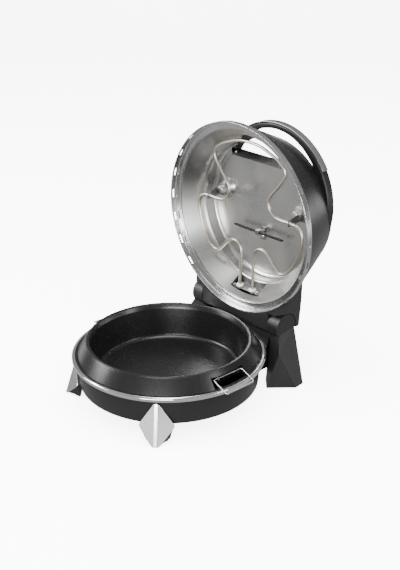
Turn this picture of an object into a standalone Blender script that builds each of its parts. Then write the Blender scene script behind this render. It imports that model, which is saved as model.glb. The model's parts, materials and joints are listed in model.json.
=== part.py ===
"""Tabletop round oven with a hinged, windowed lid, standing open.

Metres, +Z up, +X to the right of a person facing the front, front towards -Y.
The origin is on the surface the oven stands on, under the middle of the
bounding box of the open oven.  The base bowl's axis is vertical at
x = 0, y = AXIS_Y.  Everything is laid out on that axis first (y measured
from the bowl axis) and the root empty shifts it.  The lid is laid out
closed, then its empty, which sits on the hinge axis, is turned open.
"""
import math

import bmesh
import bpy
from mathutils import Matrix, Vector

for _o in list(bpy.data.objects):
    bpy.data.objects.remove(_o, do_unlink=True)

# ---------------------------------------------------------------- dimensions
SEG = 56                     # sides of the large round pieces
GAP = 0.0003                 # gap between touching pieces
AXIS_Y = -0.0661             # y of the bowl axis from the origin

# base
BOWL_R_BOTTOM = 0.1574
BOWL_R_TOP = 0.1605
BOWL_Z0 = 0.0284             # underside of the bowl
BOWL_Z1 = 0.0742
BOWL_T = 0.0016
RIM_R = 0.1700               # outer radius of the bright rim
RIM_TOP = 0.0843

# pan
PAN_CREST_R = 0.1458
PAN_CREST_Z = 0.1087
PAN_MOUTH_R = 0.1362
PAN_SKIRT_R = 0.1608
PAN_SKIRT_Z = 0.0822
PAN_FLOOR_Z = 0.0455
PAN_T = 0.0020
POCKET_HALF = 0.0355         # half width of the pocket for each wire handle
POCKET_TOP = 0.0996
POCKET_WALL = 0.1405
BAIL_PIVOT = (0.1480, 0.0957)    # x, z of the wire handle's pivot
BAIL_OUT = (0.1785, 0.0828)      # x, z of its outer bar
BAIL_HALF = 0.0315
WIRE_R = 0.0015

# hinge
HINGE_Y = 0.1786
HINGE_Z = 0.1099
LID_OPEN = math.radians(89.3)
KNUCKLE_R = 0.0235
KNUCKLE_X0 = 0.0862
KNUCKLE_X1 = 0.1112
SHAFT_R = 0.0040
BORE_R = 0.0041

# lid, closed position
LID_RIM_R = 0.1733
LID_RIM_Z = 0.0892
SHELL_R0, SHELL_Z0 = 0.1700, 0.1030
SHELL_R1, SHELL_Z1 = 0.1232, 0.2062
SHELL_TOP = 0.2140
SHELL_T = 0.0022
LINER_R0, LINER_Z0 = 0.1580, 0.1026
LINER_R1, LINER_Z1 = 0.1335, 0.1385
CEILING_Z = 0.1645
LINER_T = 0.0010
WINDOW_Y, WINDOW_Z, WINDOW_SLOPE = -0.1040, 0.1650, 0.93   # plane of the glass
WELL_Z = 0.1900              # top of the shell wall ahead of the glass
SLOT_ANGLE0, SLOT_PITCH, SLOT_COUNT = 43.9, 14.9, 7
SLOT_L, SLOT_H, SLOT_Z = 0.0160, 0.0040, 0.0955
HEATER_Z = 0.1235
DOME_X, DOME_Y = 0.0940, -0.0200
HEATER_R = 0.0031

# handle, seen from above: two arcs centred ahead of the lid's axis
HANDLE_R_OUT, HANDLE_Y_OUT = 0.1331, -0.0233
HANDLE_R_IN, HANDLE_Y_IN = 0.1091, -0.0349
HANDLE_Z0, HANDLE_Z1 = 0.1870, 0.2030

# ---------------------------------------------------------------- materials
MATS = {}


def mat(name, rgb, rough, metal=0.0, alpha=1.0):
    if name not in MATS:
        m = bpy.data.materials.new(name)
        m.use_nodes = True
        p = m.node_tree.nodes["Principled BSDF"]
        p.inputs["Base Color"].default_value = (*rgb, 1.0)
        p.inputs["Roughness"].default_value = rough
        p.inputs["Metallic"].default_value = metal
        p.inputs["Alpha"].default_value = alpha
        m.diffuse_color = (*rgb, alpha)
        MATS[name] = m
    return MATS[name]


BLACK_ENAMEL = ("black_enamel", (0.028, 0.028, 0.029), 0.32)
PAN_COATING = ("pan_coating", (0.016, 0.016, 0.017), 0.30)
LINER_BLACK = ("liner_enamel", (0.020, 0.020, 0.021), 0.45)
STAINLESS = ("polished_stainless", (0.72, 0.72, 0.71), 0.18, 1.0)
TRIM = ("bright_trim", (0.80, 0.80, 0.80), 0.12, 1.0)
WIRE = ("chromed_wire", (0.78, 0.78, 0.78), 0.12, 1.0)
CHARCOAL = ("charcoal_plastic", (0.040, 0.040, 0.042), 0.55)
DECK = ("grey_deck", (0.25, 0.25, 0.26), 0.35, 0.6)
HEATER = ("heater_sheath", (0.72, 0.67, 0.58), 0.30, 1.0)
HANDLE = ("handle_plastic", (0.022, 0.022, 0.023), 0.40)
SILVER = ("silver_trim", (0.60, 0.60, 0.61), 0.28, 0.9)
GLASS = ("window_glass", (0.80, 0.82, 0.82), 0.05, 0.0, 0.35)
RUBBER = ("foot_rubber", (0.02, 0.02, 0.02), 0.85)
SHAFT = ("shaft_steel", (0.45, 0.45, 0.46), 0.35, 1.0)
BRACKET = ("dark_bracket", (0.10, 0.10, 0.10), 0.45, 0.7)
CERAMIC = ("ceramic", (0.78, 0.75, 0.68), 0.70)
SCREW = ("screw_steel", (0.60, 0.60, 0.60), 0.25, 1.0)
PHENOLIC = ("control_body", (0.05, 0.045, 0.04), 0.60)
KNOB = ("knob_plastic", (0.025, 0.025, 0.026), 0.42)
LENS = ("red_lens", (0.55, 0.03, 0.02), 0.15)
PAD = ("insulation", (0.75, 0.74, 0.70), 0.95)

# ---------------------------------------------------------------- solid tools


def to_mesh(bm, name="m"):
    bmesh.ops.recalc_face_normals(bm, faces=bm.faces)
    me = bpy.data.meshes.new(name)
    bm.to_mesh(me)
    bm.free()
    return me


def lathe(profile, seg=SEG, y=0.0, turn=0.0):
    """Turns a closed (r, z) outline about the vertical axis."""
    bm = bmesh.new()
    rings = []
    for r, z in profile:
        if r < 1e-7:
            rings.append([bm.verts.new((0, y, z))] * seg)
        else:
            rings.append([bm.verts.new((r * math.cos(turn + 2 * math.pi * k / seg),
                                        y + r * math.sin(turn + 2 * math.pi * k / seg), z))
                          for k in range(seg)])
    n = len(profile)
    for i in range(n):
        a, b = rings[i], rings[(i + 1) % n]
        if profile[i][0] < 1e-7 and profile[(i + 1) % n][0] < 1e-7:
            continue
        for k in range(seg):
            k2 = (k + 1) % seg
            vs = []
            for v in (a[k], a[k2], b[k2], b[k]):
                if v not in vs:
                    vs.append(v)
            bm.faces.new(vs)
    return to_mesh(bm)


def hull(points):
    bm = bmesh.new()
    vs = [bm.verts.new(p) for p in points]
    out = bmesh.ops.convex_hull(bm, input=vs)
    junk = [g for g in out["geom_interior"] + out["geom_unused"] if isinstance(g, bmesh.types.BMVert)]
    bmesh.ops.delete(bm, geom=list(set(junk)), context="VERTS")
    bmesh.ops.dissolve_limit(bm, angle_limit=math.radians(0.5), verts=bm.verts, edges=bm.edges)
    return to_mesh(bm)


def prism(outline, lo, hi, axis="z"):
    """Extrudes a 2-D outline.  axis z: (x, y); axis x: (y, z); axis y: (x, z)."""
    place = {"z": lambda a, b, c: (a, b, c), "x": lambda a, b, c: (c, a, b), "y": lambda a, b, c: (a, c, b)}[axis]
    bm = bmesh.new()
    low = [bm.verts.new(place(a, b, lo)) for a, b in outline]
    top = [bm.verts.new(place(a, b, hi)) for a, b in outline]
    n = len(outline)
    bm.faces.new(low)
    bm.faces.new(list(reversed(top)))
    for k in range(n):
        bm.faces.new((low[k], low[(k + 1) % n], top[(k + 1) % n], top[k]))
    return to_mesh(bm)


def box(x0, x1, y0, y1, z0, z1):
    return prism([(x0, y0), (x1, y0), (x1, y1), (x0, y1)], z0, z1)


def cylinder(center, axis, r, length, seg=24, turn=0.0):
    """A cylinder that starts at center and runs length along axis."""
    q = Vector(axis).normalized().to_track_quat("Z", "Y").to_matrix()
    bm = bmesh.new()
    rings = []
    for h in (0.0, length):
        rings.append([bm.verts.new(Vector(center) + q @ Vector((r * math.cos(turn + 2 * math.pi * k / seg),
                                                                r * math.sin(turn + 2 * math.pi * k / seg), h)))
                      for k in range(seg)])
    bm.faces.new(list(reversed(rings[0])))
    bm.faces.new(rings[1])
    for k in range(seg):
        bm.faces.new((rings[0][k], rings[0][(k + 1) % seg], rings[1][(k + 1) % seg], rings[1][k]))
    return to_mesh(bm)


def turned(center, axis, profile, seg=20):
    """A turned piece: (r, h) outline from the axis back to the axis, h along axis."""
    me = lathe(profile, seg)
    q = Vector(axis).normalized().to_track_quat("Z", "Y").to_matrix().to_4x4()
    me.transform(Matrix.Translation(Vector(center)) @ q)
    return me


def tube(path, r, sides=8, closed=False):
    pts = [Vector(p) for p in path]
    n = len(pts)
    bm = bmesh.new()
    rings = []
    ref = None
    for i, p in enumerate(pts):
        if closed:
            t = (pts[(i + 1) % n] - pts[i - 1]).normalized()
        else:
            t = (pts[min(i + 1, n - 1)] - pts[max(i - 1, 0)]).normalized()
        if ref is None:
            ref = t.orthogonal().normalized()
        ref = (ref - t * ref.dot(t)).normalized()
        side = t.cross(ref)
        rings.append([bm.verts.new(p + ref * r * math.cos(2 * math.pi * k / sides) + side * r * math.sin(2 * math.pi * k / sides))
                      for k in range(sides)])
    last = n if closed else n - 1
    for i in range(last):
        a, b = rings[i], rings[(i + 1) % n]
        shift = 0
        if closed and i == n - 1:
            shift = min(range(sides), key=lambda s: (b[s].co - a[0].co).length)
        for k in range(sides):
            bm.faces.new((a[k], a[(k + 1) % sides], b[(k + 1 + shift) % sides], b[(k + shift) % sides]))
    if not closed:
        bm.faces.new(list(reversed(rings[0])))
        bm.faces.new(rings[-1])
    return to_mesh(bm)


def boolean(a, b, op="DIFFERENCE"):
    oa = bpy.data.objects.new("a", a)
    ob = bpy.data.objects.new("b", b)
    for o in (oa, ob):
        bpy.context.scene.collection.objects.link(o)
    m = oa.modifiers.new("bool", "BOOLEAN")
    m.object = ob
    m.operation = op
    m.solver = "EXACT"
    dg = bpy.context.evaluated_depsgraph_get()
    dg.update()
    me = bpy.data.meshes.new_from_object(oa.evaluated_get(dg))
    bpy.data.objects.remove(oa, do_unlink=True)
    bpy.data.objects.remove(ob, do_unlink=True)
    bm = bmesh.new()
    bm.from_mesh(me)
    bmesh.ops.remove_doubles(bm, verts=bm.verts, dist=1e-6)
    bmesh.ops.dissolve_degenerate(bm, dist=1e-6, edges=bm.edges)
    bm.to_mesh(me)
    bm.free()
    me.materials.clear()
    return me


def cut(a, *others):
    for b in others:
        a = boolean(a, b, "DIFFERENCE")
    return a


def join(a, *others):
    for b in others:
        a = boolean(a, b, "UNION")
    return a


def meet(a, b):
    return boolean(a, b, "INTERSECT")


def moved(me, m):
    me = me.copy()
    me.transform(m)
    if m.determinant() < 0:
        me.flip_normals()
    return me


MIRROR_X = Matrix.Diagonal((-1, 1, 1, 1))


def spline(points, step_count):
    """Catmull-Rom curve through points, step_count pieces each."""
    out = []
    n = len(points)
    for i in range(n - 1):
        p0, p1, p2, p3 = (Vector(points[max(i - 1, 0)]), Vector(points[i]), Vector(points[i + 1]), Vector(points[min(i + 2, n - 1)]))
        for k in range(step_count):
            t = k / step_count
            out.append(0.5 * ((2 * p1) + (p2 - p0) * t + (2 * p0 - 5 * p1 + 4 * p2 - p3) * t * t + (3 * p1 - p0 - 3 * p2 + p3) * t ** 3))
    out.append(Vector(points[-1]))
    return out


def arc(cx, cy, r, a0, a1, n):
    return [(cx + r * math.cos(a0 + (a1 - a0) * k / n), cy + r * math.sin(a0 + (a1 - a0) * k / n)) for k in range(n + 1)]


# ---------------------------------------------------------------- frames
root = bpy.data.objects.new("oven_origin", None)
root.location = (0, AXIS_Y, 0)
bpy.context.scene.collection.objects.link(root)

lid_hinge = bpy.data.objects.new("lid_hinge_axis", None)
lid_hinge.parent = root
lid_hinge.location = (0, HINGE_Y, HINGE_Z)
lid_hinge.rotation_euler = (-LID_OPEN, 0, 0)
bpy.context.scene.collection.objects.link(lid_hinge)


def add(name, me, material, parent=root, origin=(0, 0, 0), smooth=30):
    """Places a solid given in bowl-axis coordinates (lid pieces: closed)."""
    base = Vector((0, HINGE_Y, HINGE_Z)) if parent is lid_hinge else Vector((0, 0, 0))
    me.transform(Matrix.Translation(-Vector(origin)))
    me.name = name
    me.materials.append(mat(*material))
    if smooth:
        me.shade_smooth()
        me.set_sharp_from_angle(angle=math.radians(smooth))
    o = bpy.data.objects.new(name, me)
    bpy.context.scene.collection.objects.link(o)
    o.parent = parent
    o.location = Vector(origin) - base
    return o


def pair(name, me, material, **kw):
    """A piece and its mirror image about the plane x = 0 (right, left)."""
    left = moved(me, MIRROR_X)
    a = add(name + "_right", me, material, **kw)
    origin = kw.pop("origin", (0, 0, 0))
    b = add(name + "_left", left, material, origin=(-origin[0], origin[1], origin[2]), **kw)
    return a, b


# ================================================================ base
bowl = lathe([(0, BOWL_Z0), (0.1520, BOWL_Z0), (0.1556, BOWL_Z0 + 0.0012), (BOWL_R_BOTTOM + 0.0004, BOWL_Z0 + 0.0042),
              (BOWL_R_TOP, BOWL_Z1), (BOWL_R_TOP - BOWL_T, BOWL_Z1), (BOWL_R_BOTTOM - 0.0012, BOWL_Z0 + 0.0050),
              (0.1520, BOWL_Z0 + BOWL_T), (0, BOWL_Z0 + BOWL_T)])
add("base_bowl", bowl, BLACK_ENAMEL)

rim = lathe([(0.1592, BOWL_Z1 + GAP), (0.1655, BOWL_Z1 + GAP), (0.1688, 0.0762), (0.1700, 0.0790), (0.1697, 0.0818),
             (0.1680, 0.0838), (0.1660, RIM_TOP), (0.1640, 0.0836), (0.1634, 0.0806), (0.1580, 0.0800), (0.1580, 0.0776), (0.1592, 0.0770)])
add("chrome_rim", rim, TRIM)

liner = lathe([(0, 0.0330), (0.1490, 0.0330), (0.1530, 0.0360), (0.1572, 0.0803), (0.1630, 0.0809), (0.1630, 0.0819),
               (0.1562, 0.0819), (0.1520, 0.0368), (0.1485, 0.0342), (0, 0.0342)])
add("base_liner", liner, LINER_BLACK)

# what other pieces are cut back to, so that they clear the bowl and rim
bowl_space = lathe([(0, 0.02), (0.1524, BOWL_Z0 - GAP), (0.1560, BOWL_Z0 + 0.0009), (BOWL_R_BOTTOM + 0.0008, BOWL_Z0 + 0.0038),
                    (BOWL_R_TOP + 0.0004, BOWL_Z1 - 0.0006), (0.1665, BOWL_Z1 - 0.0004), (0.1705, 0.0772), (0.1706, 0.0820), (0.1706, 0.12), (0, 0.12)])

# ---- front feet: a folded bright plate over a black wedge
FOOT_ANGLE = math.radians(42.0)


def foot_point(r, t, z):
    """radial, tangential and height coordinates of the right front foot."""
    s, c = math.sin(FOOT_ANGLE), math.cos(FOOT_ANGLE)
    return (r * s + t * c, -r * c + t * s, z)


def plate_point(t, z, depth=0.0):
    """Outer face of the foot's plate: a ridge at t = 0, wings folded back."""
    top_z, tip_z = 0.0707, 0.0008
    ridge = 0.1638 + (0.1850 - 0.1638) * (top_z - z) / (top_z - tip_z)
    fold = (0.1738 - 0.1580) / 0.0300          # how far a wing falls back per metre sideways
    flat = 0.0030
    return foot_point(ridge - max(0.0, abs(t) - flat) * fold * 1.06 - depth, t, z)


PLATE_OUTLINE = [(-0.0045, 0.0700), (-0.0010, 0.0707), (0.0030, 0.0702), (0.0062, 0.0668), (0.0282, 0.0325), (0.0298, 0.0288),
                 (0.0285, 0.0252), (0.0085, 0.0028), (0.0050, 0.0008), (-0.0050, 0.0008), (-0.0085, 0.0028), (-0.0285, 0.0252),
                 (-0.0298, 0.0288), (-0.0282, 0.0325), (-0.0062, 0.0668)]


def foot_plate(front, back, outline, grow=0.0):
    bm = bmesh.new()
    # split the outline at the two fold lines so each face stays flat
    pts = []
    n = len(outline)
    for i in range(n):
        (t0, z0), (t1, z1) = outline[i], outline[(i + 1) % n]
        pts.append((t0, z0))
        cross = [((f - t0) / (t1 - t0), f) for f in (-0.003, 0.003) if (t0 - f) * (t1 - f) < -1e-12]
        for k, f in sorted(cross):
            pts.append((f, z0 + k * (z1 - z0)))
    a = [bm.verts.new(plate_point(t, z, front)) for t, z in pts]
    b = [bm.verts.new(plate_point(t, z, back)) for t, z in pts]
    m = len(pts)
    for k in range(m):
        bm.faces.new((a[k], a[(k + 1) % m], b[(k + 1) % m], b[k]))
    for ring, flip in ((a, False), (b, True)):
        for lo, hi in ((-1, -0.003), (-0.003, 0.003), (0.003, 1)):
            f = [ring[k] for k in range(m) if lo - 1e-6 <= pts[k][0] <= hi + 1e-6]
            bm.faces.new(list(reversed(f)) if flip else f)
    return to_mesh(bm)


plate = foot_plate(0.0, 0.0020, PLATE_OUTLINE)
wedge_pts = [plate_point(t * 0.94, 0.0026 + (z - 0.0026) * 0.965 if z > 0.0026 else 0.0024, 0.0023) for t, z in PLATE_OUTLINE]
wedge_pts += [plate_point(0, 0.0024, 0.0023), plate_point(0.0030, 0.0680, 0.0023), plate_point(-0.0030, 0.0680, 0.0023)]
wedge_pts += [foot_point(0.1560, 0.0215, 0.0024), foot_point(0.1560, -0.0215, 0.0024), foot_point(0.1530, 0.0100, 0.0660), foot_point(0.1530, -0.0100, 0.0660),
              foot_point(0.1500, 0.0240, 0.0300), foot_point(0.1500, -0.0240, 0.0300)]
wedge = cut(hull(wedge_pts), bowl_space)
pair("front_foot_trim", plate, TRIM, smooth=20)
pair("front_foot", wedge, CHARCOAL, smooth=20)
pad = hull([foot_point(r, t, z) for r, t in ((0.1740, 0.0050), (0.1740, -0.0050), (0.1580, 0.0180), (0.1580, -0.0180), (0.1600, 0.0190), (0.1600, -0.0190)) for z in (0.0, 0.0021)])
pair("front_foot_pad", pad, RUBBER, smooth=20)

# ---- rear legs: faceted towers that carry the hinge
A = (0.1106, 0.1330)
B = (0.1454, 0.1740)
C = (0.1430, 0.1950)
D = (0.1200, 0.2035)
E = (KNUCKLE_X0, 0.2055)
F = (KNUCKLE_X0, 0.1560)
LEG_Z0 = 0.0020
leg_pts = [(x, y, LEG_Z0) for x, y in (A, B, C, D, E, F)]
leg_pts += [(0.1240, 0.1487, 0.0686), (KNUCKLE_X0, 0.1655, 0.0885), (0.1108, 0.1625, 0.0980),
            (KNUCKLE_X0, 0.2005, 0.1040), (KNUCKLE_X1 - 0.0004, 0.2005, 0.1040), (KNUCKLE_X1 - 0.0004, 0.1950, 0.1010)]
knuckle = cylinder((KNUCKLE_X0, HINGE_Y, HINGE_Z), (1, 0, 0), KNUCKLE_R, KNUCKLE_X1 - KNUCKLE_X0, 36)
leg = join(hull(leg_pts), knuckle)
leg = cut(leg, bowl_space, cylinder((KNUCKLE_X0 - 0.01, HINGE_Y, HINGE_Z), (1, 0, 0), BORE_R, 0.0300, 24))
pair("rear_leg", leg, CHARCOAL, smooth=12)
rpad = prism([(0.1020, 0.1480), (0.1190, 0.1480), (0.1400, 0.1740), (0.1380, 0.1920), (0.1180, 0.1990), (0.0930, 0.2005), (0.0930, 0.1600)], 0.0, LEG_Z0 - GAP)
pair("rear_foot_pad", rpad, RUBBER, smooth=20)

bridge = cut(box(-KNUCKLE_X0 + GAP, KNUCKLE_X0 - GAP, 0.1380, 0.2010, 0.0240, 0.0795), bowl_space)
bridge = cut(bridge, cylinder((0, 0.186, 0.050), (0, 1, 0), 0.0125, 0.03, 24))
add("rear_bridge", bridge, CHARCOAL, smooth=20)

deck = prism([(-0.1044, 0.1370), (0.1044, 0.1370), (0.0835, 0.1640), (0.0742, 0.1765), (-0.0742, 0.1765), (-0.0835, 0.1640)], 0.0798, 0.0820)
deck = cut(deck, bowl_space)
deck = cut(deck, box(KNUCKLE_X0 - GAP, 0.2, 0.158, 0.3, 0, 0.2), box(-0.2, -KNUCKLE_X0 + GAP, 0.158, 0.3, 0, 0.2))
add("rear_deck", deck, DECK, smooth=20)

inlet = turned((0, 0.1863, 0.050), (0, 1, 0), [(0, 0), (0.0120, 0), (0.0120, 0.0150), (0.0150, 0.0150), (0.0150, 0.0180), (0.0110, 0.0180), (0.0110, 0.0060), (0, 0.0060)], 24)
inlet = join(inlet, box(-0.006, 0.006, 0.1905, 0.2000, 0.0485, 0.0515))
add("power_inlet", inlet, PHENOLIC, smooth=30)

shaft = cylinder((-0.1055, HINGE_Y, HINGE_Z), (1, 0, 0), SHAFT_R, 0.2110, 24)
add("hinge_shaft", shaft, SHAFT)

# ================================================================ pan
pan_out = [(0, PAN_FLOOR_Z - PAN_T), (0.1210, PAN_FLOOR_Z - PAN_T), (0.1262, 0.0462), (0.1292, 0.0520), (0.1366, 0.0985), (0.1388, 0.1042),
           (0.1412, 0.1064), (0.1430, 0.1056)]
pan_skin = [(PAN_SKIRT_R - 0.0022, PAN_SKIRT_Z), (PAN_SKIRT_R, PAN_SKIRT_Z), (PAN_CREST_R + 0.0006, 0.1052), (0.1447, 0.1076), (0.1425, PAN_CREST_Z),
            (0.1395, PAN_CREST_Z - 0.0001), (0.1372, 0.1070), (PAN_MOUTH_R - 0.0008, 0.1030), (0.1345, 0.0980), (0.1272, 0.0526), (0.1248, 0.0478), (0.1200, PAN_FLOOR_Z), (0, PAN_FLOOR_Z)]
pan = lathe(pan_out + pan_skin)
envelope = lathe([(0, 0.06), (0.165, 0.06), (0.165, PAN_SKIRT_Z - 0.001), (PAN_SKIRT_R - 0.0004, PAN_SKIRT_Z), (PAN_CREST_R + 0.0002, 0.1052), (0, 0.1052)])
for s in (1, -1):
    x = sorted((s * (POCKET_WALL - 0.0016), s * 0.17))
    block = meet(box(x[0], x[1], -POCKET_HALF - 0.0016, POCKET_HALF + 0.0016, PAN_SKIRT_Z, POCKET_TOP + 0.0016), envelope)
    pan = join(pan, block)
    x = sorted((s * POCKET_WALL, s * 0.18))
    pan = cut(pan, box(x[0], x[1], -POCKET_HALF, POCKET_HALF, 0.070, POCKET_TOP))
    for y in (-0.022, 0.022):
        x = sorted((s * (POCKET_WALL - 0.0010), s * 0.1510))
        lug = box(x[0], x[1], y - 0.0015, y + 0.0015, 0.0915, POCKET_TOP + 0.0008)
        lug = meet(lug, envelope)
        lug = cut(lug, cylinder((s * BAIL_PIVOT[0], y - 0.01, BAIL_PIVOT[1]), (0, 1, 0), 0.0019, 0.02, 12))
        pan = join(pan, lug)
add("pan", pan, PAN_COATING)

# wire handle: a closed loop that swings in two lugs
loop = []
px, pz = BAIL_PIVOT
ox, oz = BAIL_OUT
length = math.hypot(ox - px, oz - pz)
ux, uz = (ox - px) / length, (oz - pz) / length
rc = 0.0035
for cu, cv, a0 in ((rc, -BAIL_HALF + rc, 180), (length - rc, -BAIL_HALF + rc, 270), (length - rc, BAIL_HALF - rc, 0), (rc, BAIL_HALF - rc, 90)):
    for k in range(5):
        a = math.radians(a0 + 90 * k / 4)
        u, v = cu + rc * math.cos(a), cv + rc * math.sin(a)
        loop.append((px + ux * u, v, pz + uz * u))
pair("pan_handle", tube(loop, WIRE_R, 8, closed=True), WIRE, origin=(px, 0, pz))

# ================================================================ lid, closed
rim_sheet = lathe([(LID_RIM_R - 0.0014, LID_RIM_Z), (LID_RIM_R, LID_RIM_Z), (LID_RIM_R, 0.1000), (0.1722, 0.1014), (0.1700, 0.1020), (0.1590, 0.1020),
                   (0.1578, 0.1010), (0.1590, 0.1004), (0.1700, 0.1004), (LID_RIM_R - 0.0014, 0.0994)])
for k in range(SLOT_COUNT):
    for s in (1, -1):
        a = math.radians(SLOT_ANGLE0 + SLOT_PITCH * k)
        half = SLOT_L / 2
        m = Matrix.Rotation(s * a, 4, "Z")
        slot = prism([(-half, SLOT_Z - 0.0010), (-half + 0.0010, SLOT_Z - SLOT_H / 2), (half - 0.0010, SLOT_Z - SLOT_H / 2), (half, SLOT_Z - 0.0010),
                      (half, SLOT_Z + 0.0010), (half - 0.0010, SLOT_Z + SLOT_H / 2), (-half + 0.0010, SLOT_Z + SLOT_H / 2), (-half, SLOT_Z + 0.0010)], -0.180, -0.165, "y")
        slot.transform(m)
        rim_sheet = cut(rim_sheet, slot)
add("lid_rim", rim_sheet, STAINLESS, lid_hinge)

shell_out = [(SHELL_R0, SHELL_Z0), (SHELL_R1, SHELL_Z1), (0.1212, 0.2095), (0.1170, 0.2118), (0.1080, 0.2130), (0, SHELL_TOP)]
shell_in = [(0, SHELL_TOP - SHELL_T), (0.1070, 0.2108), (0.1155, 0.2098), (0.1190, 0.2078), (0.1210, 0.2052), (SHELL_R0 - 0.0024, SHELL_Z0)]
shell = lathe(shell_out + shell_in)


def window_side(offset, far=0.4):
    """Half space ahead of the window plane, moved offset forwards."""
    k = math.sqrt(1 + WINDOW_SLOPE ** 2)
    ny, nz = -1 / k, WINDOW_SLOPE / k
    ty, tz = WINDOW_SLOPE / k, 1 / k
    o = (WINDOW_Y + ny * offset, WINDOW_Z + nz * offset)
    corners = [(o[0] + ty * a + ny * b, o[1] + tz * a + nz * b) for a, b in ((-far, 0), (far, 0), (far, far), (-far, far))]
    return prism(corners, -0.3, 0.3, "x")


well = meet(window_side(-GAP), box(-0.3, 0.3, -0.4, 0.1, WELL_Z, 0.5))
shell = cut(shell, well)
# openings of the knobs and the lamp in the top
KNOB_X, KNOB_Y = 0.046, 0.030
for x in (-KNOB_X, KNOB_X):
    shell = cut(shell, cylinder((x, KNOB_Y, 0.200), (0, 0, 1), 0.0050, 0.03, 20))
shell = cut(shell, cylinder((0, KNOB_Y + 0.012, 0.200), (0, 0, 1), 0.0043, 0.03, 20))
add("lid_shell", shell, BLACK_ENAMEL, lid_hinge)

liner_in = [(0.1592, LINER_Z0), (LINER_R0, LINER_Z0 + 0.0004), (LINER_R1, LINER_Z1), (0.1308, 0.1400), (0.1300, 0.1425), (0.1290, 0.1560), (0.1272, 0.1600), (0.1240, 0.1622), (0, CEILING_Z)]
liner_out = [(0, CEILING_Z + LINER_T), (0.1245, 0.1633), (0.1281, 0.1606), (0.1301, 0.1562), (0.1311, 0.1428), (0.1316, 0.1410), (0.1342, 0.1392), (0.1590, 0.1034), (0.1660, 0.1034), (0.1660, LINER_Z0 - 0.0003)]
lid_liner = lathe(liner_in + liner_out)
lid_liner = cut(lid_liner, window_side(0.0), box(-0.0834, 0.0834, -0.2, -0.0855, 0.1600, 0.2))
# a recess at the back takes the terminal box
lid_liner = cut(lid_liner, box(-0.0350, 0.0350, 0.1100, 0.2000, 0.1140, 0.1385))


def dome(grow, bottom=0.1500):
    """Pressed dome in the ceiling beside each element clip (right side)."""
    me = lathe([(0, 0.1405 - grow), (0.0050 + grow, 0.1410 - grow), (0.0078 + grow, 0.1435 - grow), (0.0125 + grow, 0.1560), (0.0185 + grow, 0.1636), (0, 0.1640)], 24)
    me.transform(Matrix.Translation((DOME_X, DOME_Y, 0)))
    return me


for side in (Matrix.Identity(4), MIRROR_X):
    lid_liner = join(lid_liner, moved(dome(0.0), side))
    hollow = moved(dome(-0.0010), side)
    lid_liner = cut(lid_liner, join(hollow, moved(cylinder((DOME_X, DOME_Y, 0.1600), (0, 0, 1), 0.0120, 0.0150, 24), side)))
lid_liner = cut(lid_liner, cylinder((0, 0.0510, 0.155), (0, 0, 1), 0.0019, 0.02, 12))
add("lid_liner", lid_liner, STAINLESS, lid_hinge)

# front wall of the control space, in the window plane above the liner
cavity = lathe([(0, CEILING_Z + LINER_T + GAP), (0.1248, 0.1633 + GAP), (0.1284, 0.1608 + GAP), (0.1304, 0.1562), (0.1318, 0.1440), (0.1478, 0.1440), (0.1460, 0.1480),
                (0.1206, 0.2048), (0.1186, 0.2070), (0.1150, 0.2090), (0.1065, 0.2101), (0, 0.2108)])
k = math.sqrt(1 + WINDOW_SLOPE ** 2)
wall_slab = cut(window_side(-0.0024), window_side(-GAP))
front_wall = meet(cavity, wall_slab)
front_wall = cut(front_wall, box(-0.0834, 0.0834, -0.3, 0.1, 0.10, 0.1722))
reveal = prism([(-0.0868, 0.1629), (-0.0964, 0.1720), (-0.0945, 0.1745), (-0.0932, 0.1731), (-0.0950, 0.1722), (-0.0860, 0.1638)], -0.0831, 0.0831, "x")
front_wall = join(front_wall, reveal)
nrm = Vector((0, -1, WINDOW_SLOPE)).normalized()
tng = Vector((0, WINDOW_SLOPE, 1)).normalized()
for s in (1, -1):
    front_wall = cut(front_wall, cylinder(Vector((s * 0.0770, -0.0912, 0.1675)) - tng * 0.004, tng, 0.0017, 0.008, 12))
add("window_frame", front_wall, HANDLE, lid_hinge, smooth=20)
wscrew = turned(Vector((0.0770, -0.0912, 0.1675)) - tng * 0.0008, -tng, [(0, -0.0030), (0.0013, -0.0030), (0.0013, 0), (0.0030, 0), (0.0030, 0.0008), (0.0022, 0.0015), (0, 0.0017)], 12)
pair("window_screw", wscrew, SCREW, parent=lid_hinge)

# the glass lies on the edge of the liner's window
pane_space = lathe([(0, 0.1160), (0.1546, 0.1160), (0.1400, 0.1400), (0.1270, 0.1760), (0, 0.1760)])
pane = meet(cut(window_side(GAP), window_side(0.0030)), pane_space)
pane = cut(pane, box(-0.3, 0.3, -0.3, 0.1, 0.1740, 0.3))
add("window_glass", pane, GLASS, lid_hinge, smooth=20)

# handle: a crescent ahead of the lid, its ends let into the shell
outer = arc(0, HANDLE_Y_OUT, HANDLE_R_OUT - 0.0020 - GAP, math.radians(180 - 24), math.radians(360 + 24), 48)
inner = arc(0, HANDLE_Y_IN, HANDLE_R_IN, math.radians(360 + 18), math.radians(180 - 18), 36)
outline = outer + inner
shell_space = lathe([(0, 0.09), (0.1740, 0.09), (0.1740, SHELL_Z0 - 0.0006), (SHELL_R0 + 0.0004, SHELL_Z0), (SHELL_R1 + 0.0004, SHELL_Z1), (0.1216, 0.2099), (0.1170, 0.23), (0, 0.23)])
crescent = prism(outline, HANDLE_Z0, HANDLE_Z1)
crescent = cut(crescent, shell_space)
add("lid_handle", crescent, HANDLE, lid_hinge, smooth=25)
band = [p for p in arc(0, HANDLE_Y_OUT, HANDLE_R_OUT, math.radians(180 + 31), math.radians(360 - 31), 44)]
band += [p for p in arc(0, HANDLE_Y_OUT, HANDLE_R_OUT - 0.0020, math.radians(360 - 31), math.radians(180 + 31), 44)]
band = cut(prism(band, HANDLE_Z0 + 0.0010, HANDLE_Z1 - 0.0010), shell_space)
add("handle_trim", band, SILVER, lid_hinge, smooth=25)

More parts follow.
